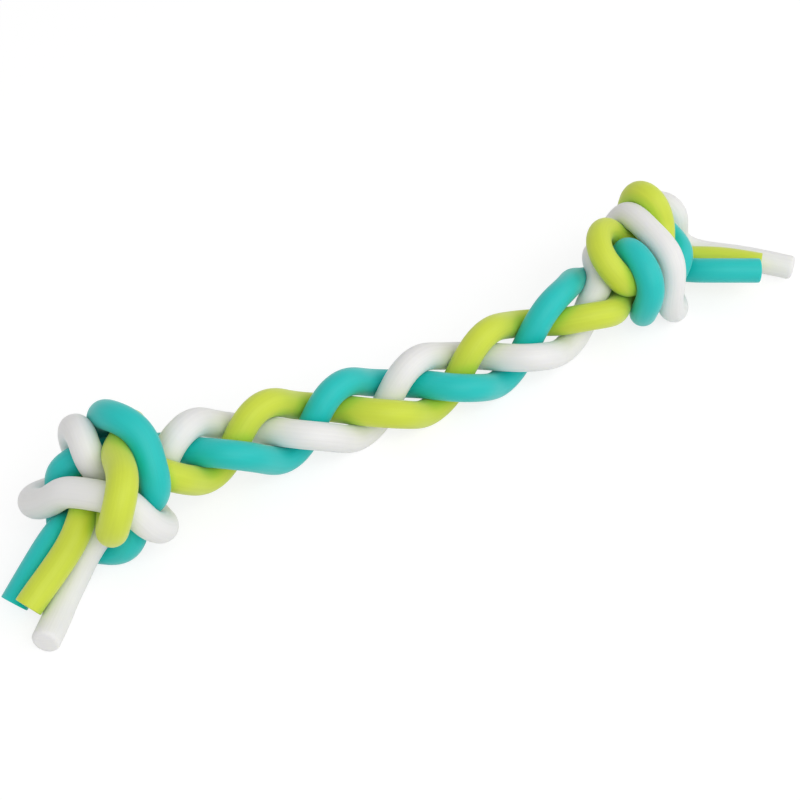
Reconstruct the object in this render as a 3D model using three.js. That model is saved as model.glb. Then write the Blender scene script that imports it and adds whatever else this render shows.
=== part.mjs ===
// Braided rubber dog toy: three round rubber strands, plaited flat and tied in a knot at each end.
// Millimetres, +Z up, +X along the plait. The toy lies on the ground, with the origin under its middle.
import * as THREE from 'three';
import { mergeVertices } from 'three/addons/utils/BufferGeometryUtils.js';

// Strand stock
const STRAND_DIAMETER = 10;
const STRAND_SIDES = 10;
const RING_SPACING = 0.36 * STRAND_DIAMETER;
// Room left between two strands that press on each other, and between two turns of one strand
const CLEARANCE = 0.35;
const SELF_CLEARANCE = 0.55;
// Centreline radius that the rubber folds to in a pulled knot
const TIGHTEST_BEND = 0.66 * STRAND_DIAMETER;
// How much of a strand is flattened where the toy lies on it
const GROUND_FLAT = 0.1 * STRAND_DIAMETER;

// Plait: each strand swings from side to side once in a pitch and dips twice
const PITCH = 93;
const SWING = 1.07 * STRAND_DIAMETER;
const SWING_FLATTENING = 0.11 * STRAND_DIAMETER;
const DIP = 0.775 * STRAND_DIAMETER;
const START_ANGLE = THREE.MathUtils.degToRad(41.7);
// Where the plait begins and ends, in pitches from the toy's middle
const PLAIT_LEFT = -0.903;
const PLAIT_RIGHT = 0.731;
const PLAIT_SAMPLES = 25;
// How firmly the plait is held while the strands settle, as for the knot points below
const PLAIT_HOLD = 1;
// The flat of the plait leans towards the front, and leans more from left to right
const LEAN = THREE.MathUtils.degToRad(28);
const LEAN_PER_PITCH = THREE.MathUtils.degToRad(6.4);
// The knots are thicker than the plait, so it sags between them
const MIDDLE_HEIGHT = 1.25 * STRAND_DIAMETER;
const RISE = 1.02 * STRAND_DIAMETER;
const BOW = 0.24 * STRAND_DIAMETER;
const SKEW = 0.3 * STRAND_DIAMETER;

// The direction that the knots are laid out from, as seen by someone looking down at the toy
const FACE_AZIMUTH = THREE.MathUtils.degToRad(-27);
const FACE_ELEVATION = THREE.MathUtils.degToRad(45);

// Knot centres: past the plait's end, sideways and up
const LEFT_KNOT_CENTRE = new THREE.Vector3(
  PLAIT_LEFT * PITCH - 3.95 * STRAND_DIAMETER,
  -0.5 * STRAND_DIAMETER,
  2.7 * STRAND_DIAMETER,
);
const RIGHT_KNOT_CENTRE = new THREE.Vector3(
  PLAIT_RIGHT * PITCH + 4.35 * STRAND_DIAMETER,
  1.35 * STRAND_DIAMETER,
  2.7 * STRAND_DIAMETER,
);

// Points that each strand passes in the knots: right, up and near, in strand diameters from the knot's
// centre, and how firmly the strand is held there, from 0 to 1. The left lists run from the cut end to
// the plait, and the right lists from the plait to the cut end.
const STRANDS = [
  {
    name: 'white_strand',
    colour: '#e4e5df',
    plaitOrder: 0,
    leftKnot: [
      [-1.6, -5.25, 2.15, 1], [-1.3, -4.05, 0.85, 1], [-0.75, -2.8, -0.05, 1],
      [-0.05, -1.45, -0.7, 0.8], [0.25, -0.6, -0.7, 0.8], [0.15, 0.1, -0.05, 1], [-0.25, 0.75, 0.55, 1],
      [-0.55, 1.3, 0.65, 1], [-0.8, 1.85, 0.4, 1], [-0.75, 1.75, -0.5, 1], [-0.9, 1.2, -1.6, 1],
      [-1.1, 0.5, -2, 1], [-1.4, -0.3, -2.1, 1], [-1.75, -0.65, -1.5, 1], [-1.85, -0.75, -0.5, 1],
      [-1.65, -0.7, 0.3, 1], [-1.15, -0.6, 0.65, 1], [-0.3, -0.45, 1.15, 1], [0.6, -0.65, 1.3, 0.5],
      [0.95, -0.85, 1.4, 0.8], [1.05, -1, 1, 1], [1, -1, 0.2, 1], [0.9, -0.85, -0.75, 1],
      [1, -0.5, -1.35, 0.5], [1.25, 0, -1.35, 0.5], [1.55, 0.55, -1.15, 0.6], [1.95, 1.05, -0.9, 1],
      [2.3, 1.5, -1.1, 1], [2.75, 1.85, -1.5, 1],
    ],
    rightKnot: [
      [-2.65, -3, 0.8, 1], [-2.3, -2.3, 0.95, 1], [-2, -1.55, 0.95, 1], [-1.7, -1.05, 0.7, 1],
      [-1.5, -0.55, 0.15, 1], [-1.35, -0.05, -0.6, 1], [-1.1, 0.5, -1.2, 1], [-0.75, 1.05, -1.5, 1],
      [-0.6, 1.4, -1.1, 1], [-0.5, 1.6, -0.4, 1], [-0.4, 1.5, 0.3, 1], [-0.1, 1.05, 0.7, 1],
      [0.25, 0.55, 0.9, 1], [0.55, 0.05, 0.95, 1], [0.95, -0.9, 0.85, 1], [1, -1.55, 0.65, 1],
      [0.95, -1.95, 0, 1], [0.85, -1.6, -1.2, 0.4], [0.6, -0.6, -2.3, 0.2], [0.6, 0.85, -3.2, 0],
      [0.7, 1.85, -2.8, 0.3], [1, 2.2, -2, 1], [1.4, 1.8, -2.2, 1], [1.55, 1.1, -2.6, 1],
      [1.95, 0.6, -3, 1], [2.7, 0.4, -3, 1], [4.45, 0.15, -2.8, 1], [6.65, -0.3, -2.6, 1],
    ],
  },
  {
    name: 'lime_strand',
    colour: '#c4d555',
    plaitOrder: 1,
    leftKnot: [
      [-2.25, -4.15, 1.65, 1], [-1.45, -2.8, 1.25, 1], [-1.05, -2.15, 1.05, 1], [-0.65, -1.5, 0.85, 1],
      [-0.3, -0.8, 0.2, 0.5], [-0.3, -0.25, -0.6, 0], [-0.9, 0, -1.6, 0.3], [-0.8, 0.4, -2.5, 0],
      [-0.35, 0.95, -2.5, 0.2], [0, 1.55, -1.4, 0.8], [0.35, 1.7, -0.4, 1], [0.6, 1.25, 0.4, 0.8],
      [0.8, 0.65, 1.3, 0.5], [0.9, -0.15, 2.05, 0.5], [0.85, -0.85, 2.1, 0.5], [0.6, -1.45, 1.1, 0.6],
      [0.65, -1.15, 0.4, 0.5], [1, -0.5, -0.15, 0.5], [1.5, 0.15, -0.4, 0.5], [2, 0.35, -0.55, 0.8],
      [2.5, 0.2, -0.95, 0.8], [3.05, 0, -1.85, 1],
    ],
    rightKnot: [
      [-3.3, -2.75, 1.6, 1], [-2.6, -2.6, 1.9, 1], [-1.9, -2.4, 1.5, 0.8], [-1.35, -2.1, 0.8, 0.7],
      [-0.85, -1.7, 0.2, 0.5], [-0.25, -1.25, -0.2, 0.3], [0.25, -0.65, -0.6, 0.3],
      [0.45, -0.05, -0.9, 0.6], [0.15, 0.35, -0.9, 1], [-0.35, 0.55, -0.7, 1], [-0.9, 0.8, -0.2, 0.9],
      [-1.4, 1.05, 0.35, 1], [-1.85, 0.85, 0.9, 1], [-2.05, 0.35, 1.35, 1], [-1.9, -0.25, 1.7, 1],
      [-1.4, -0.85, 1.5, 1], [-0.85, -1.4, 0.9, 1], [-0.1, -1.45, 0, 0], [0.65, -0.85, -0.5, 0],
      [1, -0.05, -0.6, 0.2], [0.85, 0.95, -0.4, 1], [0.55, 1.75, -0.1, 1], [0, 2.1, 0.1, 1],
      [-0.4, 2.05, -0.1, 1], [-0.45, 1.85, -1, 0.7], [-0.5, 1.45, -1.8, 0], [-0.05, 0.65, -2.3, 0],
      [1.05, 0.25, -2.6, 0], [2.3, 0.2, -2.4, 0.8], [3.7, 0.05, -2.2, 1], [5.15, -0.2, -2, 1],
    ],
  },
  {
    name: 'teal_strand',
    colour: '#39bcb6',
    plaitOrder: 2,
    leftKnot: [
      [-2.9, -4.1, 0.95, 1], [-2.1, -2.65, 0.6, 1], [-1.15, -1.15, 0.2, 1], [-0.65, -0.45, -0.6, 0],
      [-0.3, 0.35, -1.5, 0], [-0.15, 1.3, -1.6, 0], [-0.05, 1.9, -0.7, 0.5], [0.25, 2.05, 0.3, 1],
      [0.7, 2.15, 0.85, 1], [1.2, 1.85, 0.95, 1], [1.45, 1, 0.85, 1], [1.3, -0.05, 0.55, 1],
      [0.95, -0.9, 0.1, 1], [0.6, -1.7, -0.2, 1], [0.3, -2.25, -0.35, 1], [-0.45, -2.3, -0.65, 0.6],
      [-1.25, -1.85, -0.85, 0.4], [-1.55, -0.95, -0.7, 0.5], [-1.65, -0.1, -0.5, 1],
      [-1.45, 0.6, -0.4, 1], [-0.8, 0.95, -0.4, 0.5], [-0.05, 1, -0.6, 0.7], [0.45, 0.9, -0.9, 0.3],
      [0.95, 0.9, -1.3, 0.3], [1.7, 1.15, -2.1, 0.6], [2.7, 1.05, -1.9, 1],
    ],
    rightKnot: [
      [-3, -1.25, 1, 1], [-2.4, -0.95, -0.1, 1], [-1.9, -0.8, -0.8, 0.8], [-1.5, -0.7, -1, 0.6],
      [-1.25, -0.4, -0.6, 0.6], [-1.15, -0.05, 0, 0.8], [-1.15, 0.2, 0.5, 1], [-0.9, 0.2, 1, 1],
      [-0.55, -0.2, 1.45, 1], [-0.2, -0.9, 1.7, 1], [0, -1.6, 1.45, 1], [-0.15, -2.25, 0.5, 1],
      [0, -1.95, -0.7, 0.2], [0.6, -1.25, -1.3, 0], [1.15, -0.35, -1.2, 0], [1.15, 0.35, -1, 1],
      [1, 0.9, -1.1, 1], [0.75, 1.25, -1.6, 0.4], [0.45, 1.4, -2.2, 0], [0.25, 0.85, -2.6, 0],
      [0.7, -0.05, -2.4, 0], [1.55, -0.4, -1.7, 0.2], [2.2, -0.5, -1.1, 0.8], [3.05, -0.55, -0.9, 1],
      [4.85, -0.55, -0.9, 1],
    ],
  },
];

// Rubber finish
const RUBBER_ROUGHNESS = 0.45;
const RUBBER_METALNESS = 0;

// Settling: the laid-out strands are pulled tight, eased, let go and parted where they press
const LINK = 0.3 * STRAND_DIAMETER;
const PULLING = { steps: 220, tighten: 0.3, straighten: 0, hold: 0.4 };
const EASING = { steps: 200, tighten: 0, straighten: 0.3, hold: 0.05 };
const LETTING_GO = { steps: 220, tighten: 0, straighten: 0.15, hold: 0.008 };
const PARTING = { steps: 140, tighten: 0, straighten: 0.02, hold: 0 };
const CLEARING = { steps: 120, tighten: 0, straighten: 0.002, hold: 0 };
const SETTLING = [PULLING, EASING, LETTING_GO, PARTING, CLEARING];
const CONTACT_GIVE = 0.45;
const LONGEST_MOVE = 0.15 * STRAND_DIAMETER;
const CONTACT = STRAND_DIAMETER + CLEARANCE;
const SELF_CONTACT = STRAND_DIAMETER + SELF_CLEARANCE;
const CONTACT_SEARCH = SELF_CONTACT + 0.5 * STRAND_DIAMETER;
const SEARCH_EVERY = 8;
const SAME_STRAND_ARC = 0.5 * STRAND_DIAMETER;
const LOWEST_CENTRE = STRAND_DIAMETER / 2 - GROUND_FLAT;

// Fineness of the curves that the strands follow
const DIVISIONS_PER_SPAN = 20;
// A stretch of strand this long can turn back and touch itself
const TURN_BACK = Math.PI * TIGHTEST_BEND;

// Axes of the knots' layout: right, up and near
function faceAxes() {
  const level = Math.cos(FACE_ELEVATION);
  const near = new THREE.Vector3(
    Math.sin(FACE_AZIMUTH) * level,
    -Math.cos(FACE_AZIMUTH) * level,
    Math.sin(FACE_ELEVATION),
  );
  const right = new THREE.Vector3(Math.cos(FACE_AZIMUTH), Math.sin(FACE_AZIMUTH), 0);
  const up = new THREE.Vector3().crossVectors(near, right);
  return { right, up, near };
}

// A strand's centre in the plait, at a number of pitches from the toy's middle
function plaitPoint(order, turn) {
  const angle = 2 * Math.PI * (turn - order / STRANDS.length) + START_ANGLE;
  const side = SWING * Math.sin(angle) + SWING_FLATTENING * Math.sin(3 * angle);
  const dip = DIP * Math.sin(2 * angle);
  const lean = LEAN + LEAN_PER_PITCH * turn;
  return new THREE.Vector3(
    PITCH * turn,
    side * Math.cos(lean) - dip * Math.sin(lean) + BOW * turn ** 2 + SKEW * turn ** 3,
    side * Math.sin(lean) + dip * Math.cos(lean) + MIDDLE_HEIGHT + RISE * turn ** 2,
  );
}

// A knot's listed points as places with a hold
function knotPlaces(centre, points) {
  const { right, up, near } = faceAxes();
  return points.map(([along, above, towards, hold]) => ({
    place: centre.clone()
      .addScaledVector(right, along * STRAND_DIAMETER)
      .addScaledVector(up, above * STRAND_DIAMETER)
      .addScaledVector(near, towards * STRAND_DIAMETER),
    hold,
  }));
}

// A strand's whole layout, from its left cut end to its right one
function layOut(strand) {
  const plait = Array.from({ length: PLAIT_SAMPLES }, (_, index) => {
    const turn = THREE.MathUtils.lerp(PLAIT_LEFT, PLAIT_RIGHT, index / (PLAIT_SAMPLES - 1));
    return { place: plaitPoint(strand.plaitOrder, turn), hold: PLAIT_HOLD };
  });
  return [
    ...knotPlaces(LEFT_KNOT_CENTRE, strand.leftKnot),
    ...plait,
    ...knotPlaces(RIGHT_KNOT_CENTRE, strand.rightKnot),
  ];
}

// Evenly spaced links along a smooth curve through the layout
function makeLinks(layout, strandIndex) {
  const curve = new THREE.CatmullRomCurve3(layout.map(({ place }) => place));
  const spans = layout.length - 1;
  curve.arcLengthDivisions = spans * DIVISIONS_PER_SPAN;
  const count = Math.round(curve.getLength() / LINK);
  return Array.from({ length: count + 1 }, (_, index) => {
    const along = curve.getUtoTmapping(index / count) * spans;
    const span = Math.min(Math.floor(along), spans - 1);
    const place = curve.getPoint(along / spans);
    const hold = THREE.MathUtils.lerp(layout[span].hold, layout[span + 1].hold, along - span);
    return {
      strandIndex,
      place,
      home: place.clone(),
      hold,
      arc: 0,
      bend: new THREE.Vector3(),
      push: new THREE.Vector3(),
    };
  });
}

// How far each link is from the middle of its two neighbours
function measureBends(links) {
  links.forEach((link, index) => {
    link.arc = index ? links[index - 1].arc + link.place.distanceTo(links[index - 1].place) : 0;
    link.bend.set(0, 0, 0);
  });
  for (let index = 1; index < links.length - 1; index += 1) {
    const link = links[index];
    link.bend.addVectors(links[index - 1].place, links[index + 1].place).multiplyScalar(0.5);
    link.bend.sub(link.place);
  }
}

// Tightens or straightens one strand, and draws it to the points that hold it
function relaxStrand(links, phase) {
  measureBends(links);
  const unevenness = new THREE.Vector3();
  for (let index = 1; index < links.length - 1; index += 1) {
    const link = links[index];
    unevenness.addVectors(links[index - 1].bend, links[index + 1].bend).multiplyScalar(0.5);
    unevenness.sub(link.bend);
    link.place.addScaledVector(link.bend, phase.tighten);
    link.place.addScaledVector(unevenness, -phase.straighten);
  }
  links.forEach((link) => link.place.lerp(link.home, phase.hold * link.hold));
}

// Pairs of links near enough to touch soon
function findNeighbours(links) {
  const pairs = [];
  for (let first = 0; first < links.length; first += 1) {
    for (let second = first + 1; second < links.length; second += 1) {
      if (links[first].place.distanceToSquared(links[second].place) < CONTACT_SEARCH ** 2) {
        pairs.push([links[first], links[second]]);
      }
    }
  }
  return pairs;
}

// The least distance that two links keep: two strands stay clear, and one strand keeps its bends open
function leastDistance(first, second) {
  if (first.strandIndex !== second.strandIndex) {
    return CONTACT;
  }
  const arc = Math.abs(first.arc - second.arc);
  if (arc <= SAME_STRAND_ARC) {
    return 0;
  }
  const chord = 2 * TIGHTEST_BEND * Math.sin(Math.min(arc / (2 * TIGHTEST_BEND), Math.PI / 2));
  return Math.min(SELF_CONTACT, chord);
}

// Moves links apart that are too near, and lifts them off the ground
function partLinks(links, pairs) {
  const apart = new THREE.Vector3();
  links.forEach((link) => link.push.set(0, 0, 0));
  for (const [first, second] of pairs) {
    apart.subVectors(first.place, second.place);
    const distance = apart.length();
    const lack = leastDistance(first, second) - distance;
    if (lack > 0) {
      apart.multiplyScalar((0.5 * CONTACT_GIVE * lack) / distance);
      first.push.add(apart);
      second.push.sub(apart);
    }
  }
  for (const link of links) {
    link.place.add(link.push.clampLength(0, LONGEST_MOVE));
    link.place.z = Math.max(link.place.z, LOWEST_CENTRE);
  }
}

// Settles all strands together
function settle(strandLinks) {
  const links = strandLinks.flat();
  let pairs = [];
  let step = 0;
  for (const phase of SETTLING) {
    for (let count = 0; count < phase.steps; count += 1) {
      if (step % SEARCH_EVERY === 0) {
        pairs = findNeighbours(links);
      }
      strandLinks.forEach((strand) => relaxStrand(strand, phase));
      partLinks(links, pairs);
      step += 1;
    }
  }
}

// Least gap between the surfaces of two strands, or of one strand where it turns back on itself
function leastGap(firstLinks, secondLinks) {
  let gap = Infinity;
  for (const first of firstLinks) {
    for (const second of secondLinks) {
      const apart = firstLinks !== secondLinks || Math.abs(first.arc - second.arc) > TURN_BACK;
      if (apart) {
        gap = Math.min(gap, first.place.distanceTo(second.place) - STRAND_DIAMETER);
      }
    }
  }
  return gap;
}

// Radius of a strand's sharpest turn, from the circle through each three links
function sharpestTurn(links) {
  let radius = Infinity;
  for (let index = 1; index < links.length - 1; index += 1) {
    const corner = new THREE.Triangle(links[index - 1].place, links[index].place, links[index + 1].place);
    const sides = corner.a.distanceTo(corner.b) * corner.b.distanceTo(corner.c) * corner.c.distanceTo(corner.a);
    radius = Math.min(radius, sides / (4 * corner.getArea()));
  }
  return radius;
}

// Prints each strand's length, its sharpest turn and the gaps that it keeps
function printGaps(strandLinks) {
  strandLinks.forEach((links, index) => {
    const gaps = strandLinks.slice(index).map((others, step) => {
      const other = STRANDS[index + step].name;
      return `${other} ${leastGap(links, others).toFixed(2)}`;
    });
    const length = links.at(-1).arc.toFixed(0);
    const turn = sharpestTurn(links).toFixed(1);
    const found = `length ${length} mm, sharpest turn ${turn} mm, least gap in mm to ${gaps.join(', ')}`;
    console.log(`${STRANDS[index].name}: ${found}`);
  });
}

// Cross-section of a strand
function strandSection() {
  const corners = Array.from({ length: STRAND_SIDES }, (_, index) => {
    const angle = (2 * Math.PI * index) / STRAND_SIDES;
    return new THREE.Vector2(Math.cos(angle), Math.sin(angle)).multiplyScalar(STRAND_DIAMETER / 2);
  });
  return new THREE.Shape(corners);
}

// A strand's solid: a tube along its settled centreline, pressed flat where it lies on the ground
function strandGeometry(links) {
  const curve = new THREE.CatmullRomCurve3(links.map(({ place }) => place));
  curve.arcLengthDivisions = links.length * DIVISIONS_PER_SPAN;
  const steps = Math.round(curve.getLength() / RING_SPACING);
  const tube = new THREE.ExtrudeGeometry(strandSection(), { steps, extrudePath: curve, bevelEnabled: false });
  tube.deleteAttribute('normal');
  tube.deleteAttribute('uv');
  const solid = mergeVertices(tube);
  const places = solid.getAttribute('position');
  for (let index = 0; index < places.count; index += 1) {
    places.setZ(index, Math.max(places.getZ(index), 0));
  }
  solid.computeVertexNormals();
  return solid;
}

function strandMesh(strand, links) {
  const rubber = new THREE.MeshStandardMaterial({
    color: strand.colour,
    roughness: RUBBER_ROUGHNESS,
    metalness: RUBBER_METALNESS,
  });
  const mesh = new THREE.Mesh(strandGeometry(links), rubber);
  mesh.name = strand.name;
  return mesh;
}

const strandLinks = STRANDS.map((strand, index) => makeLinks(layOut(strand), index));
settle(strandLinks);
strandLinks.forEach(measureBends);
printGaps(strandLinks);

const toy = new THREE.Group();
toy.name = 'braided_toy';
STRANDS.forEach((strand, index) => toy.add(strandMesh(strand, strandLinks[index])));

// The origin is on the ground, under the middle of the toy's box
const middle = new THREE.Box3().setFromObject(toy).getCenter(new THREE.Vector3());
toy.position.set(-middle.x, -middle.y, 0);
toy.updateMatrixWorld(true);

export default toy;
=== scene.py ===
"""Braided rubber dog toy: three round rubber strands, plaited flat and tied in a knot at each end."""

import math

import bmesh
import bpy
import numpy as np
from bpy.props import FloatProperty, FloatVectorProperty, IntProperty, PointerProperty
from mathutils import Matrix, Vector


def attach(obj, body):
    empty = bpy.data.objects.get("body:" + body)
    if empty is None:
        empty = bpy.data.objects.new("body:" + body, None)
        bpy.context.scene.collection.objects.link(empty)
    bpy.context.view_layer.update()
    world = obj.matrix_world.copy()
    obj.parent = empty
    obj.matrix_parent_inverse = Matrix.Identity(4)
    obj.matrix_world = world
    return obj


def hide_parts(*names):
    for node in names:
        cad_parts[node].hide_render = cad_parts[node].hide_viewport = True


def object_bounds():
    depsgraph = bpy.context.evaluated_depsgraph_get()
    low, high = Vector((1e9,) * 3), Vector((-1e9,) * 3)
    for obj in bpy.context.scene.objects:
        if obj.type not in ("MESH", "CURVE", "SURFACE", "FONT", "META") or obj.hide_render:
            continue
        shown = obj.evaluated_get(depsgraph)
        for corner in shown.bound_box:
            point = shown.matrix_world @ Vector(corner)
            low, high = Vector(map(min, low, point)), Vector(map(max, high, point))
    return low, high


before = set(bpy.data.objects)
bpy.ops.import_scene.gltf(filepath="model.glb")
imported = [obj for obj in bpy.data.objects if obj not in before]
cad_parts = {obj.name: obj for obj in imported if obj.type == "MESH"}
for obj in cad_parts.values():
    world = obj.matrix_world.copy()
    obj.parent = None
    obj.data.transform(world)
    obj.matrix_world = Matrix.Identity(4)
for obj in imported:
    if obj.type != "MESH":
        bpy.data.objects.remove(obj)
CAD_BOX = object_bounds()

bl_info = {
    "name": "Braided Rubber Dog Toy",
    "version": (1, 0, 0),
    "blender": (4, 5, 0),
    "location": "3D View > Sidebar > Dog Toy",
    "description": "Plaits and knots rubber strands into a dog toy and sets it on a studio floor",
    "category": "Add Mesh",
}

# The route below repeats the solids' route: the same plait, knot points and settling.
# Plait, in strand diameters where it is a length
SWING = 1.07
SWING_FLATTENING = 0.11
DIP = 0.775
START_ANGLE = math.radians(41.7)
PLAIT_LEFT = -0.903
PLAIT_RIGHT = 0.731
PLAIT_SAMPLES = 25
PLAIT_HOLD = 1
LEAN = math.radians(28)
LEAN_PER_PITCH = math.radians(6.4)
MIDDLE_HEIGHT = 1.25
RISE = 1.02
BOW = 0.24
SKEW = 0.3

# The direction that the knots are laid out from, which is also the photograph's
FACE_AZIMUTH = math.radians(-27)
FACE_ELEVATION = math.radians(45)
# Knots: centres past the plait's ends, sideways and up, in strand diameters
LEFT_KNOT_CENTRE = (-3.95, -0.5, 2.7)
RIGHT_KNOT_CENTRE = (4.35, 1.35, 2.7)

# Points that each strand passes in the knots: right, up and near, in strand diameters from the knot's
# centre, and how firmly the strand is held there. The left lists run from the cut end to the plait,
# and the right lists from the plait to the cut end.
# In each strand's list, the darker colour is painted shade: the tone that its skin is painted with in the
# creases where other strands press on it.
STRANDS = {
    "white_strand": {
        "order": 0,
        "slot": "white_rubber",
        "crevice_shade_colour": (0.80, 0.803, 0.785),
        "cut_rounding": 0.16,
        "left": [
            (-1.6, -5.25, 2.15, 1), (-1.3, -4.05, 0.85, 1), (-0.75, -2.8, -0.05, 1),
            (-0.05, -1.45, -0.7, 0.8), (0.25, -0.6, -0.7, 0.8), (0.15, 0.1, -0.05, 1),
            (-0.25, 0.75, 0.55, 1),
            (-0.55, 1.3, 0.65, 1), (-0.8, 1.85, 0.4, 1), (-0.75, 1.75, -0.5, 1), (-0.9, 1.2, -1.6, 1),
            (-1.1, 0.5, -2, 1), (-1.4, -0.3, -2.1, 1), (-1.75, -0.65, -1.5, 1), (-1.85, -0.75, -0.5, 1),
            (-1.65, -0.7, 0.3, 1), (-1.15, -0.6, 0.65, 1), (-0.3, -0.45, 1.15, 1), (0.6, -0.65, 1.3, 0.5),
            (0.95, -0.85, 1.4, 0.8), (1.05, -1, 1, 1), (1, -1, 0.2, 1), (0.9, -0.85, -0.75, 1),
            (1, -0.5, -1.35, 0.5), (1.25, 0, -1.35, 0.5), (1.55, 0.55, -1.15, 0.6), (1.95, 1.05, -0.9, 1),
            (2.3, 1.5, -1.1, 1), (2.75, 1.85, -1.5, 1),
        ],
        "right": [
            (-2.65, -3, 0.8, 1), (-2.3, -2.3, 0.95, 1), (-2, -1.55, 0.95, 1), (-1.7, -1.05, 0.7, 1),
            (-1.5, -0.55, 0.15, 1), (-1.35, -0.05, -0.6, 1), (-1.1, 0.5, -1.2, 1), (-0.75, 1.05, -1.5, 1),
            (-0.6, 1.4, -1.1, 1), (-0.5, 1.6, -0.4, 1), (-0.4, 1.5, 0.3, 1), (-0.1, 1.05, 0.7, 1),
            (0.25, 0.55, 0.9, 1), (0.55, 0.05, 0.95, 1), (0.95, -0.9, 0.85, 1), (1, -1.55, 0.65, 1),
            (0.95, -1.95, 0, 1), (0.85, -1.6, -1.2, 0.4), (0.6, -0.6, -2.3, 0.2), (0.6, 0.85, -3.2, 0),
            (0.7, 1.85, -2.8, 0.3), (1, 2.2, -2, 1), (1.4, 1.8, -2.2, 1), (1.55, 1.1, -2.6, 1),
            (1.95, 0.6, -3, 1), (2.7, 0.4, -3, 1), (4.45, 0.15, -2.8, 1), (6.65, -0.3, -2.6, 1),
        ],
    },
    "lime_strand": {
        "order": 1,
        "slot": "lime_rubber",
        "crevice_shade_colour": (0.42, 0.68, 0.06),
        "cut_rounding": 0.035,
        "left": [
            (-2.25, -4.15, 1.65, 1), (-1.45, -2.8, 1.25, 1), (-1.05, -2.15, 1.05, 1),
            (-0.65, -1.5, 0.85, 1),
            (-0.3, -0.8, 0.2, 0.5), (-0.3, -0.25, -0.6, 0), (-0.9, 0, -1.6, 0.3), (-0.8, 0.4, -2.5, 0),
            (-0.35, 0.95, -2.5, 0.2), (0, 1.55, -1.4, 0.8), (0.35, 1.7, -0.4, 1), (0.6, 1.25, 0.4, 0.8),
            (0.8, 0.65, 1.3, 0.5), (0.9, -0.15, 2.05, 0.5), (0.85, -0.85, 2.1, 0.5), (0.6, -1.45, 1.1, 0.6),
            (0.65, -1.15, 0.4, 0.5), (1, -0.5, -0.15, 0.5), (1.5, 0.15, -0.4, 0.5), (2, 0.35, -0.55, 0.8),
            (2.5, 0.2, -0.95, 0.8), (3.05, 0, -1.85, 1),
        ],
        "right": [
            (-3.3, -2.75, 1.6, 1), (-2.6, -2.6, 1.9, 1), (-1.9, -2.4, 1.5, 0.8), (-1.35, -2.1, 0.8, 0.7),
            (-0.85, -1.7, 0.2, 0.5), (-0.25, -1.25, -0.2, 0.3), (0.25, -0.65, -0.6, 0.3),
            (0.45, -0.05, -0.9, 0.6), (0.15, 0.35, -0.9, 1), (-0.35, 0.55, -0.7, 1), (-0.9, 0.8, -0.2, 0.9),
            (-1.4, 1.05, 0.35, 1), (-1.85, 0.85, 0.9, 1), (-2.05, 0.35, 1.35, 1), (-1.9, -0.25, 1.7, 1),
            (-1.4, -0.85, 1.5, 1), (-0.85, -1.4, 0.9, 1), (-0.1, -1.45, 0, 0), (0.65, -0.85, -0.5, 0),
            (1, -0.05, -0.6, 0.2), (0.85, 0.95, -0.4, 1), (0.55, 1.75, -0.1, 1), (0, 2.1, 0.1, 1),
            (-0.4, 2.05, -0.1, 1), (-0.45, 1.85, -1, 0.7), (-0.5, 1.45, -1.8, 0), (-0.05, 0.65, -2.3, 0),
            (1.05, 0.25, -2.6, 0), (2.3, 0.2, -2.4, 0.8), (3.7, 0.05, -2.2, 1), (5.15, -0.2, -2, 1),
        ],
    },
    "teal_strand": {
        "order": 2,
        "slot": "teal_rubber",
        "crevice_shade_colour": (0.0, 0.50, 0.455),
        "cut_rounding": 0.035,
        "left": [
            (-2.9, -4.1, 0.95, 1), (-2.1, -2.65, 0.6, 1), (-1.15, -1.15, 0.2, 1), (-0.65, -0.45, -0.6, 0),
            (-0.3, 0.35, -1.5, 0), (-0.15, 1.3, -1.6, 0), (-0.05, 1.9, -0.7, 0.5), (0.25, 2.05, 0.3, 1),
            (0.7, 2.15, 0.85, 1), (1.2, 1.85, 0.95, 1), (1.45, 1, 0.85, 1), (1.3, -0.05, 0.55, 1),
            (0.95, -0.9, 0.1, 1), (0.6, -1.7, -0.2, 1), (0.3, -2.25, -0.35, 1), (-0.45, -2.3, -0.65, 0.6),
            (-1.25, -1.85, -0.85, 0.4), (-1.55, -0.95, -0.7, 0.5), (-1.65, -0.1, -0.5, 1),
            (-1.45, 0.6, -0.4, 1), (-0.8, 0.95, -0.4, 0.5), (-0.05, 1, -0.6, 0.7), (0.45, 0.9, -0.9, 0.3),
            (0.95, 0.9, -1.3, 0.3), (1.7, 1.15, -2.1, 0.6), (2.7, 1.05, -1.9, 1),
        ],
        "right": [
            (-3, -1.25, 1, 1), (-2.4, -0.95, -0.1, 1), (-1.9, -0.8, -0.8, 0.8), (-1.5, -0.7, -1, 0.6),
            (-1.25, -0.4, -0.6, 0.6), (-1.15, -0.05, 0, 0.8), (-1.15, 0.2, 0.5, 1), (-0.9, 0.2, 1, 1),
            (-0.55, -0.2, 1.45, 1), (-0.2, -0.9, 1.7, 1), (0, -1.6, 1.45, 1), (-0.15, -2.25, 0.5, 1),
            (0, -1.95, -0.7, 0.2), (0.6, -1.25, -1.3, 0), (1.15, -0.35, -1.2, 0), (1.15, 0.35, -1, 1),
            (1, 0.9, -1.1, 1), (0.75, 1.25, -1.6, 0.4), (0.45, 1.4, -2.2, 0), (0.25, 0.85, -2.6, 0),
            (0.7, -0.05, -2.4, 0), (1.55, -0.4, -1.7, 0.2), (2.2, -0.5, -1.1, 0.8), (3.05, -0.55, -0.9, 1),
            (4.85, -0.55, -0.9, 1),
        ],
    },
}

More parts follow.
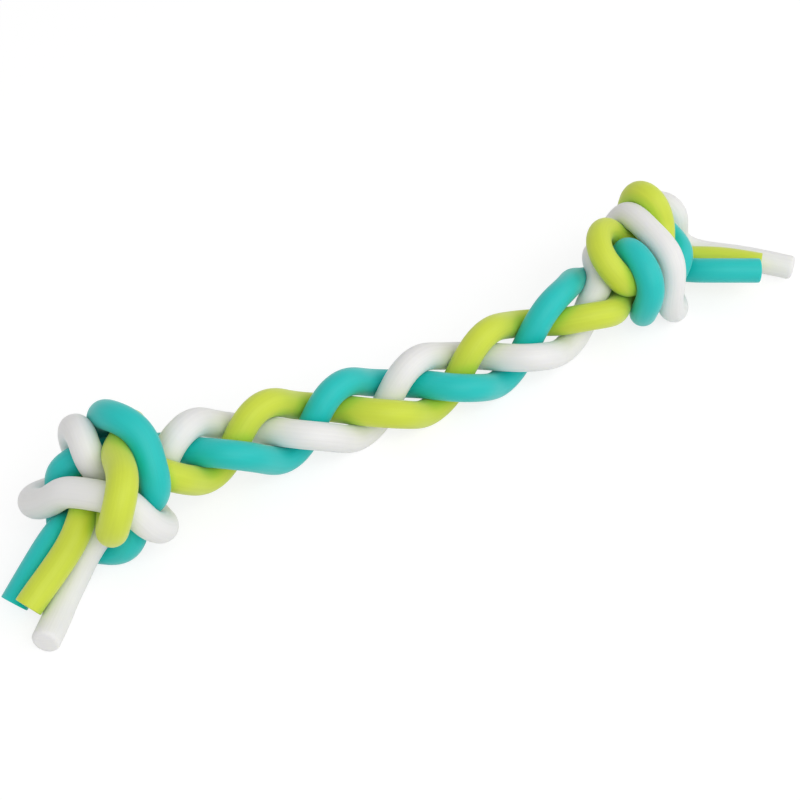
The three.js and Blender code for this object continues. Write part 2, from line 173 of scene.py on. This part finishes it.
# Settling: steps, tighten, straighten and hold of each phase; lengths in strand diameters
SETTLING = [
    (220, 0.3, 0.0, 0.4),
    (200, 0.0, 0.3, 0.05),
    (220, 0.0, 0.15, 0.008),
    (140, 0.0, 0.02, 0.0),
    (120, 0.0, 0.002, 0.0),
]
LINK = 0.3
TIGHTEST_BEND = 0.66
CONTACT = 1.035
SELF_CONTACT = 1.055
CONTACT_SEARCH = SELF_CONTACT + 0.5
SEARCH_EVERY = 8
CONTACT_GIVE = 0.45
LONGEST_MOVE = 0.15
SHORTEST_MOVE = 1e-9
SAME_STRAND_ARC = 0.5
LOWEST_CENTRE = 0.4

# Centrelines: spacing in strand diameters, finer steps between two points, and rounds of evening out
LINE_SPACING = 0.1
CURVE_STEPS = 4
LINE_SOFTENING = 6
SQUEEZE_SOFTENING = 60
SOFTENING_SHARE = 0.25

# Pressing, in strand diameters: how near a neighbour begins to squeeze a strand and squeezes it in full,
# how far along a strand can turn back on itself, how far neighbours are looked for, and the room left
LOOSE_NEIGHBOUR = 1.25
TIGHT_NEIGHBOUR = 1.06
TURN_BACK = 1.7
PRESS_REACH = 1.4
PRESS_GAP = 0.004
PRESS_STEPS = 6
# The skin is fully open where a neighbour's centre is further than its own by this share; less open skin
# has less wax film and is painted darker, as painted shade in the creases
OPEN_DISTANCE = 0.8
# How far the inner side of a bend may reach, as a share of the bend's radius
FOLD_LIMIT = 0.9
# Steps across a rounded cut edge, decimals of a metre that tell two rings apart, and corners of a skin face
CUT_EDGE_STEPS = 4
RING_DECIMALS = 7
SKIN_FACE_CORNERS = 4

# Rubber: patterns as features in a metre, with how much each is stretched along the strand or the cut
DIE_LINES = 1250.0
DIE_LINE_STRETCH = 0.012
MOTTLES = 85.0
GRAINS = 2600.0
BLADE_MARKS = 1800.0
BLADE_MARK_STRETCH = 0.08
# Darkest and palest tint of the skin and of a cut end, and how much of the tint and the relief is lines
SKIN_TINTS = (0.91, 1.09)
CUT_TINTS = (0.95, 1.1)
LINES_IN_TINT = 0.6
LINES_IN_RELIEF = 0.75
# How much the mottling, the lines, the cut and the blade change the roughness
MOTTLE_GLOSS = 0.16
LINE_GLOSS = 0.10
CUT_ROUGHNESS = 0.1
BLADE_GLOSS = 0.2
# Strength of the relief, and the rubber's optics
SKIN_RELIEF = 0.65
CUT_RELIEF = 0.5
RUBBER_IOR = 1.5
SCATTER_COLOUR = (1.0, 1.0, 0.7)
# Middle of a pattern that runs from 0 to 1, and the places of a colour mix's sockets
PATTERN_MIDDLE = 0.5
MIX_SHARE, MIX_FIRST, MIX_SECOND, MIX_RESULT = 0, 6, 7, 2
OPAQUE = (1.0,)

# Studio: softboxes by direction in degrees, distance and side in metres and power in watts
KEY_LIGHT = {"azimuth": -4, "elevation": 47, "distance": 1.6, "size": 1.2, "power": 9.5}
FILL_LIGHT = {"azimuth": 65, "elevation": 38, "distance": 1.6, "size": 0.9, "power": 4.5}
# Strength of the surround as a light, the floor's colour and glow, and the camera's sensor in millimetres
SURROUND_LIGHT = 0.57
FLOOR_COLOUR = (0.9, 0.9, 0.9, 1.0)
FLOOR_GLOW = 1.12
FLOOR_GLOW_SHARE = 0.7
PURE_WHITE = (1.0, 1.0, 1.0, 1.0)
SENSOR_WIDTH = 36.0


class StrandSettings(bpy.types.PropertyGroup):
    """Sizes of the rubber strands."""

    diameter: FloatProperty(
        name="Diameter",
        description="Diameter of the rubber rod that the strands are cut from",
        default=0.010,
        unit="LENGTH",
    )
    swell: FloatProperty(
        name="Swell",
        description="How much the rubber bulges where its neighbours squeeze it, as a share of its radius",
        default=0.09,
        subtype="FACTOR",
    )
    tail: FloatProperty(
        name="Tail",
        description="Length of each free end, which nothing squeezes",
        default=0.030,
        unit="LENGTH",
    )
    pitch: FloatProperty(
        name="Pitch",
        description="Length of one full turn of the plait",
        default=0.093,
        unit="LENGTH",
    )
    ring_spacing: FloatProperty(
        name="Ring spacing",
        description="Distance between the rings of faces along a strand",
        default=0.0012,
        unit="LENGTH",
    )
    sides: IntProperty(
        name="Sides",
        description="Faces round a strand",
        default=64,
    )


class RubberSettings(bpy.types.PropertyGroup):
    """Colours and finish of the rubber."""

    white_rubber: FloatVectorProperty(
        name="White",
        description="Colour of the off-white strand",
        default=(0.81, 0.803, 0.795),
        subtype="COLOR",
    )
    lime_rubber: FloatVectorProperty(
        name="Lime",
        description="Colour of the lime green strand",
        default=(0.60, 0.695, 0.045),
        subtype="COLOR",
    )
    teal_rubber: FloatVectorProperty(
        name="Teal",
        description="Colour of the teal strand",
        default=(0.0, 0.52, 0.495),
        subtype="COLOR",
    )
    roughness: FloatProperty(
        name="Roughness",
        description="Roughness of the satin rubber skin",
        default=0.46,
        subtype="FACTOR",
    )
    shine: FloatProperty(
        name="Shine",
        description="Strength of the reflections on clean rubber, where 0.5 is a plain plastic",
        default=0.06,
        subtype="FACTOR",
    )
    bloom: FloatProperty(
        name="Bloom",
        description="Milky film of the wax that comes to the open surface of rubber",
        default=0.8,
        subtype="FACTOR",
    )
    bloom_roughness: FloatProperty(
        name="Bloom roughness",
        description="Roughness of the wax film",
        default=0.55,
        subtype="FACTOR",
    )
    sheen: FloatProperty(
        name="Sheen",
        description="Soft light that fine dust on the rubber catches at its edges",
        default=0.12,
        subtype="FACTOR",
    )
    translucency: FloatProperty(
        name="Translucency",
        description="Share of the light that scatters under the rubber's skin",
        default=0.18,
        subtype="FACTOR",
    )
    scatter_depth: FloatProperty(
        name="Scatter depth",
        description="How deep light scatters in the rubber",
        default=0.004,
        unit="LENGTH",
    )
    die_line_depth: FloatProperty(
        name="Die line depth",
        description="Height of the fine lines that the extrusion die leaves along a strand",
        default=0.00014,
        unit="LENGTH",
    )


class StageSettings(bpy.types.PropertyGroup):
    """Camera, light and floor."""

    azimuth: FloatProperty(
        name="Azimuth",
        description="Direction that the camera stands in, round the toy",
        default=FACE_AZIMUTH,
        subtype="ANGLE",
    )
    elevation: FloatProperty(
        name="Elevation",
        description="Height of the camera above the horizon",
        default=FACE_ELEVATION,
        subtype="ANGLE",
    )
    distance: FloatProperty(
        name="Distance",
        description="Distance from the camera to the point that it looks at",
        default=0.5886,
        unit="LENGTH",
    )
    target: FloatVectorProperty(
        name="Target",
        description="Point on the route that the camera looks at",
        default=(-0.00724, -0.00257, 0.0125),
        subtype="TRANSLATION",
        unit="LENGTH",
    )
    lens: FloatProperty(
        name="Lens",
        description="Focal length in millimetres on a 36 mm sensor",
        default=69.9,
    )
    floor_size: FloatProperty(
        name="Floor size",
        description="Side of the square floor",
        default=8.0,
        unit="LENGTH",
    )


class Signal:
    """A shader socket that Python expressions can use. Each operator adds one Math node."""

    def __init__(self, shader, socket):
        self.shader = shader
        self.socket = socket

    def math(self, operation, first, second):
        node = self.shader.node("ShaderNodeMath", {"operation": operation}, {0: first, 1: second})
        return Signal(self.shader, node.outputs[0])

    def __add__(self, other):
        return self.math("ADD", self, other)

    __radd__ = __add__

    def __sub__(self, other):
        return self.math("SUBTRACT", self, other)

    def __rsub__(self, other):
        return self.math("SUBTRACT", other, self)

    def __mul__(self, other):
        return self.math("MULTIPLY", self, other)

    __rmul__ = __mul__


class Shader:
    """The nodes of a material or of the world."""

    def __init__(self, tree):
        self.tree = tree
        tree.nodes.clear()

    def node(self, kind, settings, inputs):
        """A node with its settings, and with the values or links of its sockets."""
        node = self.tree.nodes.new(kind)
        for name, value in settings.items():
            setattr(node, name, value)
        for key, value in inputs.items():
            if isinstance(value, Signal):
                self.tree.links.new(value.socket, node.inputs[key])
            else:
                node.inputs[key].default_value = value
        return node

    def signal(self, kind, settings, inputs, output=0):
        return Signal(self, self.node(kind, settings, inputs).outputs[output])


def new_material(name):
    material = bpy.data.materials.new(name)
    material.use_nodes = True
    return material, Shader(material.node_tree)


def tint(colour, share):
    """A colour made lighter or darker, as a shader colour."""
    return tuple(min(1.0, part * share) for part in colour) + OPAQUE


def mix_colours(shader, share, first, second):
    """A colour that goes from the first to the second with a pattern."""
    colours = {MIX_SHARE: share, MIX_FIRST: first, MIX_SECOND: second}
    return shader.signal("ShaderNodeMix", {"data_type": "RGBA"}, colours, MIX_RESULT)


def speckle(shader, place, fineness):
    """An even random pattern, from 0 to 1."""
    return shader.signal("ShaderNodeTexNoise", {}, {"Vector": place, "Scale": fineness}, "Fac")


def skin_material(name, colour, crevice_shade_colour, rubber):
    """Satin extruded rubber: die lines, faint mottling, uneven gloss, a film of wax where it is open, and
    painted shade, a darker colour in the creases where neighbours press.
    """
    material, shader = new_material(name)
    rod = shader.signal("ShaderNodeAttribute", {"attribute_name": "rod"}, {}, "Vector")
    stretch = (1.0, 1.0, DIE_LINE_STRETCH)
    along = shader.signal("ShaderNodeMapping", {}, {"Vector": rod, "Scale": stretch})
    lines = speckle(shader, along, DIE_LINES)
    place = shader.signal("ShaderNodeTexCoord", {}, {}, "Object")
    mottle = speckle(shader, place, MOTTLES)
    grain = speckle(shader, place, GRAINS)
    openness = shader.signal("ShaderNodeAttribute", {"attribute_name": "open"}, {}, "Fac")
    darkest, palest = (tint(colour, share) for share in SKIN_TINTS)
    streaks = LINES_IN_TINT * lines + (1 - LINES_IN_TINT) * mottle
    open_colour = mix_colours(shader, streaks, darkest, palest)
    # Painted shade: where the skin is not open, in the creases between strands, the base colour turns to
    # the darker shade colour.
    base = mix_colours(shader, openness, crevice_shade_colour + OPAQUE, open_colour)
    mottle_gloss = MOTTLE_GLOSS * (mottle - PATTERN_MIDDLE)
    gloss = rubber.roughness + mottle_gloss + LINE_GLOSS * (lines - PATTERN_MIDDLE)
    height = LINES_IN_RELIEF * lines + (1 - LINES_IN_RELIEF) * grain
    bump = shader.signal(
        "ShaderNodeBump",
        {},
        {"Strength": SKIN_RELIEF, "Distance": rubber.die_line_depth, "Height": height},
    )
    finish_rubber(shader, base, gloss, bump, rubber.bloom * openness, rubber)
    return material


def cut_material(name, colour, rubber):
    """A knife-cut end: matt, a little paler, with the blade's drag marks across it."""
    material, shader = new_material(name)
    rod = shader.signal("ShaderNodeAttribute", {"attribute_name": "rod"}, {}, "Vector")
    stretch = (BLADE_MARK_STRETCH, 1.0, 1.0)
    across = shader.signal("ShaderNodeMapping", {}, {"Vector": rod, "Scale": stretch})
    marks = speckle(shader, across, BLADE_MARKS)
    darkest, palest = (tint(colour, share) for share in CUT_TINTS)
    base = mix_colours(shader, marks, darkest, palest)
    gloss = rubber.roughness + CUT_ROUGHNESS + BLADE_GLOSS * marks
    bump = shader.signal(
        "ShaderNodeBump",
        {},
        {"Strength": CUT_RELIEF, "Distance": rubber.die_line_depth, "Height": marks},
    )
    finish_rubber(shader, base, gloss, bump, rubber.bloom, rubber)
    return material


def finish_rubber(shader, base, gloss, bump, bloom, rubber):
    """Joins a rubber's colour, gloss, relief and film of wax to its surface."""
    surface = shader.signal(
        "ShaderNodeBsdfPrincipled",
        {},
        {
            "Base Color": base,
            "Roughness": gloss,
            "Normal": bump,
            "IOR": RUBBER_IOR,
            "Specular IOR Level": rubber.shine,
            "Coat Weight": bloom,
            "Coat Roughness": rubber.bloom_roughness,
            "Sheen Weight": rubber.sheen,
            "Sheen Roughness": rubber.bloom_roughness,
            "Subsurface Weight": rubber.translucency,
            "Subsurface Radius": SCATTER_COLOUR,
            "Subsurface Scale": rubber.scatter_depth,
        },
    )
    shader.node("ShaderNodeOutputMaterial", {}, {"Surface": surface})


def direction_to(azimuth, elevation):
    """The direction from the toy to a viewer, a camera or a lamp that stands there."""
    level = math.cos(elevation)
    return np.array([math.sin(azimuth) * level, -math.cos(azimuth) * level, math.sin(elevation)])


def face_axes():
    """Right, up and near of the knots' layout."""
    near = direction_to(FACE_AZIMUTH, FACE_ELEVATION)
    right = np.array([math.cos(FACE_AZIMUTH), math.sin(FACE_AZIMUTH), 0.0])
    return np.array([right, np.cross(near, right), near])


def plait_points(order, pitch):
    """A strand's centres through the plait, in strand diameters."""
    turn = np.linspace(PLAIT_LEFT, PLAIT_RIGHT, PLAIT_SAMPLES)
    angle = 2 * math.pi * (turn - order / len(STRANDS)) + START_ANGLE
    side = SWING * np.sin(angle) + SWING_FLATTENING * np.sin(3 * angle)
    dip = DIP * np.sin(2 * angle)
    lean = LEAN + LEAN_PER_PITCH * turn
    across = side * np.cos(lean) - dip * np.sin(lean) + BOW * turn**2 + SKEW * turn**3
    height = side * np.sin(lean) + dip * np.cos(lean) + MIDDLE_HEIGHT + RISE * turn**2
    return np.column_stack([pitch * turn, across, height])


def knot_points(points, centre, plait_end):
    """A knot's listed points, in strand diameters."""
    return np.array(centre) + [plait_end, 0, 0] + np.array(points)[:, :3] @ face_axes()


def smooth_line(points, holds, spacing):
    """Points at an even spacing along a centripetal Catmull-Rom curve, with their holds."""
    padded = np.vstack([2 * points[0] - points[1], points, 2 * points[-1] - points[-2]])
    knots = np.concatenate([[0], np.cumsum(np.linalg.norm(np.diff(padded, axis=0), axis=1) ** 0.5)])
    fine, fine_holds = [], []
    for span in range(len(points) - 1):
        t0, t1, t2, t3 = knots[span:span + 4]
        p0, p1, p2, p3 = padded[span:span + 4]
        steps = max(2, math.ceil(CURVE_STEPS * np.linalg.norm(p2 - p1) / spacing))
        share = np.linspace(0, 1, steps, endpoint=False)
        t = (t1 + (t2 - t1) * share)[:, None]
        a1 = ((t1 - t) * p0 + (t - t0) * p1) / (t1 - t0)
        a2 = ((t2 - t) * p1 + (t - t1) * p2) / (t2 - t1)
        a3 = ((t3 - t) * p2 + (t - t2) * p3) / (t3 - t2)
        b1 = ((t2 - t) * a1 + (t - t0) * a2) / (t2 - t0)
        b2 = ((t3 - t) * a2 + (t - t1) * a3) / (t3 - t1)
        fine.append(((t2 - t) * b1 + (t - t1) * b2) / (t2 - t1))
        fine_holds.append(holds[span] + (holds[span + 1] - holds[span]) * share)
    line = np.vstack([*fine, points[-1:]])
    line_holds = np.concatenate([*fine_holds, holds[-1:]])
    arc = arc_lengths(line)
    even = np.linspace(0, arc[-1], round(arc[-1] / spacing) + 1)
    places = np.column_stack([np.interp(even, arc, line[:, axis]) for axis in range(3)])
    return places, np.interp(even, arc, line_holds)


def arc_lengths(line):
    """Length along a line at each of its points."""
    return np.concatenate([[0], np.cumsum(np.linalg.norm(np.diff(line, axis=0), axis=1))])


def lay_out(strand, pitch):
    """A strand's links before settling, in strand diameters, and their holds."""
    left = knot_points(strand["left"], LEFT_KNOT_CENTRE, PLAIT_LEFT * pitch)
    plait = plait_points(strand["order"], pitch)
    right = knot_points(strand["right"], RIGHT_KNOT_CENTRE, PLAIT_RIGHT * pitch)
    left_holds = [point[3] for point in strand["left"]]
    right_holds = [point[3] for point in strand["right"]]
    holds = np.array([*left_holds, *[PLAIT_HOLD] * PLAIT_SAMPLES, *right_holds], float)
    return smooth_line(np.vstack([left, plait, right]), holds, LINK)


def relax(links, tighten, straighten):
    """One strand's step towards a shorter, straighter line."""
    bend = np.zeros_like(links)
    bend[1:-1] = (links[:-2] + links[2:]) / 2 - links[1:-1]
    unevenness = np.zeros_like(links)
    unevenness[1:-1] = (bend[:-2] + bend[2:]) / 2 - bend[1:-1]
    return links + tighten * bend - straighten * unevenness


def find_neighbours(links):
    """Pairs of links near enough to touch soon."""
    apart = ((links[:, None, :] - links[None, :, :]) ** 2).sum(-1)
    return np.nonzero(np.triu(apart < CONTACT_SEARCH**2, 1))


def part_links(links, pairs, owner, arc):
    """Moves links apart that are too near, and lifts them off the ground."""
    first, second = pairs
    apart = links[first] - links[second]
    distance = np.linalg.norm(apart, axis=1)
    reach = np.abs(arc[first] - arc[second])
    chord = 2 * TIGHTEST_BEND * np.sin(np.minimum(reach / (2 * TIGHTEST_BEND), math.pi / 2))
    own = np.where(reach > SAME_STRAND_ARC, np.minimum(SELF_CONTACT, chord), 0)
    least = np.where(owner[first] == owner[second], own, CONTACT)
    lack = np.maximum(least - distance, 0)
    step = apart * (CONTACT_GIVE / 2 * lack / distance)[:, None]
    push = np.zeros_like(links)
    np.add.at(push, first, step)
    np.add.at(push, second, -step)
    length = np.linalg.norm(push, axis=1)
    push *= np.minimum(1, LONGEST_MOVE / np.maximum(length, SHORTEST_MOVE))[:, None]
    links = links + push
    links[:, 2] = np.maximum(links[:, 2], LOWEST_CENTRE)
    return links


def settle(layouts):
    """Pulls the strands tight, eases them, lets them go and parts them where they press."""
    homes = np.vstack([places for places, _ in layouts])
    holds = np.concatenate([held for _, held in layouts])[:, None]
    owner = np.concatenate([np.full(len(places), index) for index, (places, _) in enumerate(layouts)])
    ends = np.cumsum([len(places) for places, _ in layouts])[:-1]
    links = homes.copy()
    step = 0
    for steps, tighten, straighten, hold in SETTLING:
        for _ in range(steps):
            if step % SEARCH_EVERY == 0:
                pairs = find_neighbours(links)
            strands = np.split(links, ends)
            arc = np.concatenate([arc_lengths(strand) for strand in strands])
            links = np.vstack([relax(strand, tighten, straighten) for strand in strands])
            links += hold * holds * (homes - links)
            links = part_links(links, pairs, owner, arc)
            step += 1
    return np.split(links, ends)


def settled_lines(settings):
    """Each strand's settled centreline in metres, before it moves to the frame's origin."""
    pitch = settings.pitch / settings.diameter
    layouts = [lay_out(strand, pitch) for strand in STRANDS.values()]
    lines = []
    for links in settle(layouts):
        fine, _ = smooth_line(links, np.ones(len(links)), LINE_SPACING)
        lines.append(soften(fine, LINE_SOFTENING) * settings.diameter)
    return lines


def soften(values, rounds):
    """Evens out values along a line without moving its ends."""
    for _ in range(rounds):
        values[1:-1] += SOFTENING_SHARE * (values[:-2] + values[2:] - 2 * values[1:-1])
    return values


def frame_shift(lines, settings):
    """How far the route moves so that its strands' box has the CAD box's middle."""
    lows, highs = [], []
    for line in lines:
        ahead, _, _ = carried_frames(line)
        reach = settings.diameter / 2 * np.sqrt(np.maximum(1 - ahead**2, 0))
        lows.append((line - reach).min(0))
        highs.append((line + reach).max(0))
    middle = (np.min(lows, axis=0) + np.max(highs, axis=0)) / 2
    shift = np.array((CAD_BOX[0] + CAD_BOX[1]) / 2) - middle
    shift[2] = 0
    return shift


class Crowd:
    """All the strands' centrelines, to find what presses on a strand."""

    def __init__(self, lines, diameter):
        self.diameter = diameter
        self.points = np.vstack(lines)
        self.owner = np.concatenate([np.full(len(line), index) for index, line in enumerate(lines)])
        self.arc = np.concatenate([arc_lengths(line) for line in lines])

    def near(self, index, centre, height):
        """Centres near one place on a strand, of other strands or of its own where it turns back."""
        other = (self.owner != index) | (np.abs(self.arc - height) > TURN_BACK * self.diameter)
        close = np.linalg.norm(self.points - centre, axis=1) < PRESS_REACH * self.diameter
        return self.points[other & close]

    def squeeze(self, index, line, tail):
        """How hard a strand is squeezed along its line, from 0 to 1."""
        loose, tight = LOOSE_NEIGHBOUR * self.diameter, TIGHT_NEIGHBOUR * self.diameter
        arc = arc_lengths(line)
        nearest = np.full(len(line), loose)
        for place, (centre, height) in enumerate(zip(line, arc)):
            others = self.near(index, centre, height)
            if len(others):
                nearest[place] = np.linalg.norm(others - centre, axis=1).min()
        share = np.clip((loose - nearest) / (loose - tight), 0, 1)
        from_end = np.minimum(arc, arc[-1] - arc)
        share *= np.clip(from_end / tail - 1, 0, 1)
        return soften(share, SQUEEZE_SOFTENING)

    def press(self, places, index, centre, height):
        """Moves a ring's points inwards until none is nearer to another strand than to its own.

        Also gives how open each point is, from 0 where it touches a neighbour to 1.
        """
        others = self.near(index, centre, height)
        if not len(others):
            return places, 1
        gap = PRESS_GAP * self.diameter
        for _ in range(PRESS_STEPS):
            own = np.linalg.norm(places - centre, axis=1)
            other = np.linalg.norm(places[:, None] - others[None], axis=2).min(1)
            excess = np.maximum(own + gap - other, 0) / 2
            places = places + (centre - places) * (excess / own)[:, None]
        return places, np.clip((other / own - 1) / OPEN_DISTANCE, 0, 1)


def carried_frames(line):
    """Directions along a line, and two across it that turn as little as they can."""
    ahead = np.gradient(line, axis=0)
    ahead /= np.linalg.norm(ahead, axis=1)[:, None]
    across = np.zeros_like(line)
    start = np.cross(ahead[0], [0, 0, 1])
    across[0] = start / np.linalg.norm(start)
    for index in range(1, len(line)):
        side = across[index - 1] - ahead[index] * (across[index - 1] @ ahead[index])
        across[index] = side / np.linalg.norm(side)
    return ahead, across, np.cross(ahead, across)


def make_rod(length, settings, rounding):
    """A straight rod of rubber, cut square, with its rings of faces."""
    rod = bmesh.new()
    radius = settings.diameter / 2
    bmesh.ops.create_cone(
        rod,
        cap_ends=True,
        cap_tris=False,
        segments=settings.sides,
        radius1=radius,
        radius2=radius,
        depth=length,
    )
    rims = [edge for edge in rod.edges if abs(edge.verts[0].co.z - edge.verts[1].co.z) < length / 2]
    bmesh.ops.bevel(
        rod,
        geom=rims,
        offset=rounding,
        segments=CUT_EDGE_STEPS,
        profile=0.5,
        affect="EDGES",
        material=-1,
    )
    long_edges = [edge for edge in rod.edges if edge.calc_length() > length / 2]
    cuts = round(length / settings.ring_spacing)
    bmesh.ops.subdivide_edges(rod, edges=long_edges, cuts=cuts, use_grid_fill=True)
    bmesh.ops.translate(rod, verts=rod.verts, vec=(0, 0, length / 2))
    return rod


def bend_rod(mesh, line, index, crowd, settings):
    """Lays a straight rod along a line, and presses it on its neighbours and on the ground."""
    straight = np.empty(len(mesh.vertices) * 3)
    mesh.vertices.foreach_get("co", straight)
    straight = straight.reshape(-1, 3)
    heights = straight[:, 2]
    arc = arc_lengths(line)
    ahead, across, over = carried_frames(line)
    curl = np.gradient(ahead, arc, axis=0)
    swell = 1 + settings.swell * crowd.squeeze(index, line, settings.tail)

    def along(values):
        return np.column_stack([np.interp(heights, arc, part) for part in values.T])

    centres = along(line)
    out = (straight[:, :1] * along(across) + straight[:, 1:2] * along(over)) * along(swell[:, None])
    inward = np.maximum((out * along(curl)).sum(1), FOLD_LIMIT)
    bent = centres + out * (FOLD_LIMIT / inward)[:, None]
    openness = np.ones(len(bent))
    _, ring = np.unique(np.round(heights, RING_DECIMALS), return_inverse=True)
    order = np.argsort(ring, kind="stable")
    for members in np.split(order, np.cumsum(np.bincount(ring))[:-1]):
        centre, height = centres[members[0]], heights[members[0]]
        bent[members], openness[members] = crowd.press(bent[members], index, centre, height)
    bent[:, 2] = np.maximum(bent[:, 2], 0)
    stock = mesh.attributes.new("rod", "FLOAT_VECTOR", "POINT")
    stock.data.foreach_set("vector", straight.ravel())
    # How open each point is: it sets the wax film and the painted shade in the creases between strands.
    wax_and_painted_shade_mask = mesh.attributes.new("open", "FLOAT", "POINT")
    wax_and_painted_shade_mask.data.foreach_set("value", openness)
    mesh.vertices.foreach_set("co", bent.ravel())
    mesh.update()


def make_strand(name, index, line, crowd, settings, rubber):
    """One rubber strand, with a skin and two cut ends."""
    strand = STRANDS[name]
    length = arc_lengths(line)[-1]
    rod = make_rod(length, settings, strand["cut_rounding"] * settings.diameter)
    for face in rod.faces:
        cut = len(face.verts) > SKIN_FACE_CORNERS
        face.smooth = not cut
        face.material_index = int(cut)
    mesh = bpy.data.meshes.new(name + "_rubber")
    rod.to_mesh(mesh)
    rod.free()
    bend_rod(mesh, line, index, crowd, settings)
    slot = strand["slot"]
    colour = getattr(rubber, slot)
    mesh.materials.append(skin_material(slot + "_skin", colour, strand["crevice_shade_colour"], rubber))
    mesh.materials.append(cut_material(slot + "_cut", colour, rubber))
    piece = bpy.data.objects.new(name + "_rubber", mesh)
    bpy.context.scene.collection.objects.link(piece)
    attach(piece, "root")
    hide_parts(name)


class TOY_OT_plait_strands(bpy.types.Operator):
    """Plait and knot the three rubber strands"""

    bl_idname = "toy.plait_strands"
    bl_label = "Plait Strands"

    def execute(self, context):
        settings = context.scene.toy_strands
        rubber = context.scene.toy_rubber
        lines = settled_lines(settings)
        shift = frame_shift(lines, settings)
        context.scene["toy_shift"] = shift.tolist()
        lines = [line + shift for line in lines]
        crowd = Crowd(lines, settings.diameter)
        for index, (name, line) in enumerate(zip(STRANDS, lines)):
            make_strand(name, index, line, crowd, settings, rubber)
        return {"FINISHED"}


def add_camera(stage, shift):
    """The camera at the photograph's angle."""
    camera = bpy.data.objects.new("toy_camera", bpy.data.cameras.new("toy_camera"))
    camera.data.lens = stage.lens
    camera.data.sensor_width = SENSOR_WIDTH
    back = Vector(direction_to(stage.azimuth, stage.elevation))
    camera.location = Vector(stage.target) + Vector(shift) + back * stage.distance
    camera.rotation_mode = "QUATERNION"
    camera.rotation_quaternion = (-back).to_track_quat("-Z", "Y")
    bpy.context.scene.collection.objects.link(camera)
    bpy.context.scene.camera = camera


def add_softbox(name, azimuth, elevation, distance, size, power):
    """A square studio light that points at the toy."""
    light = bpy.data.lights.new(name, "AREA")
    light.shape = "SQUARE"
    light.size = size
    light.energy = power
    lamp = bpy.data.objects.new(name, light)
    back = Vector(direction_to(math.radians(azimuth), math.radians(elevation)))
    lamp.location = back * distance
    lamp.rotation_mode = "QUATERNION"
    lamp.rotation_quaternion = (-back).to_track_quat("-Z", "Y")
    bpy.context.scene.collection.objects.link(lamp)


def seen_directly(shader):
    """1 for the camera and for mirrors and glass, 0 for the light that falls on the toy."""
    path = shader.node("ShaderNodeLightPath", {}, {})
    kinds = ("Is Camera Ray", "Is Glossy Ray", "Is Transmission Ray")
    camera, glossy, through = (Signal(shader, path.outputs[kind]) for kind in kinds)
    return camera.math("MINIMUM", camera + glossy + through, 1.0)


def floor_material():
    """White studio sweep: it shows white, and keeps a soft share of the shadow."""
    material, shader = new_material("studio_floor")
    matt = shader.signal("ShaderNodeBsdfDiffuse", {}, {"Color": FLOOR_COLOUR})
    glow = shader.signal("ShaderNodeEmission", {}, {"Color": PURE_WHITE, "Strength": FLOOR_GLOW})
    share = FLOOR_GLOW_SHARE * seen_directly(shader)
    mixed = shader.signal("ShaderNodeMixShader", {}, {0: share, 1: matt, 2: glow})
    shader.node("ShaderNodeOutputMaterial", {}, {"Surface": mixed})
    return material


def add_floor(size):
    """A level square floor under the toy."""
    sheet = bmesh.new()
    bmesh.ops.create_grid(sheet, x_segments=1, y_segments=1, size=size / 2)
    mesh = bpy.data.meshes.new("studio_floor")
    sheet.to_mesh(mesh)
    sheet.free()
    mesh.materials.append(floor_material())
    floor = bpy.data.objects.new("studio_floor", mesh)
    bpy.context.scene.collection.objects.link(floor)


def light_world(strength):
    """Even studio surround: white where it is seen, dimmer as a light."""
    world = bpy.data.worlds.new("studio_surround")
    world.use_nodes = True
    bpy.context.scene.world = world
    shader = Shader(world.node_tree)
    level = strength + (1.0 - strength) * seen_directly(shader)
    glow = shader.signal("ShaderNodeBackground", {}, {"Color": PURE_WHITE, "Strength": level})
    shader.node("ShaderNodeOutputWorld", {}, {"Surface": glow})


class TOY_OT_set_stage(bpy.types.Operator):
    """Set the camera, the studio lights and the floor"""

    bl_idname = "toy.set_stage"
    bl_label = "Set Stage"

    def execute(self, context):
        stage = context.scene.toy_stage
        add_camera(stage, context.scene["toy_shift"])
        add_floor(stage.floor_size)
        light_world(SURROUND_LIGHT)
        add_softbox("key_softbox", **KEY_LIGHT)
        add_softbox("fill_softbox", **FILL_LIGHT)
        context.scene.view_settings.view_transform = "Standard"
        return {"FINISHED"}


class TOY_PT_panel(bpy.types.Panel):
    """The toy's settings and steps."""

    bl_label = "Dog Toy"
    bl_space_type = "VIEW_3D"
    bl_region_type = "UI"
    bl_category = "Dog Toy"

    def draw(self, context):
        for group in (context.scene.toy_strands, context.scene.toy_rubber, context.scene.toy_stage):
            box = self.layout.box()
            for name in group.__annotations__:
                box.prop(group, name)
        self.layout.operator(TOY_OT_plait_strands.bl_idname)
        self.layout.operator(TOY_OT_set_stage.bl_idname)


CLASSES = (
    StrandSettings,
    RubberSettings,
    StageSettings,
    TOY_OT_plait_strands,
    TOY_OT_set_stage,
    TOY_PT_panel,
)


def register():
    for each in CLASSES:
        bpy.utils.register_class(each)
    bpy.types.Scene.toy_strands = PointerProperty(type=StrandSettings)
    bpy.types.Scene.toy_rubber = PointerProperty(type=RubberSettings)
    bpy.types.Scene.toy_stage = PointerProperty(type=StageSettings)


def unregister():
    del bpy.types.Scene.toy_stage
    del bpy.types.Scene.toy_rubber
    del bpy.types.Scene.toy_strands
    for each in reversed(CLASSES):
        bpy.utils.unregister_class(each)


def main():
    register()
    bpy.ops.toy.plait_strands()
    bpy.ops.toy.set_stage()


if __name__ == "__main__":
    main()
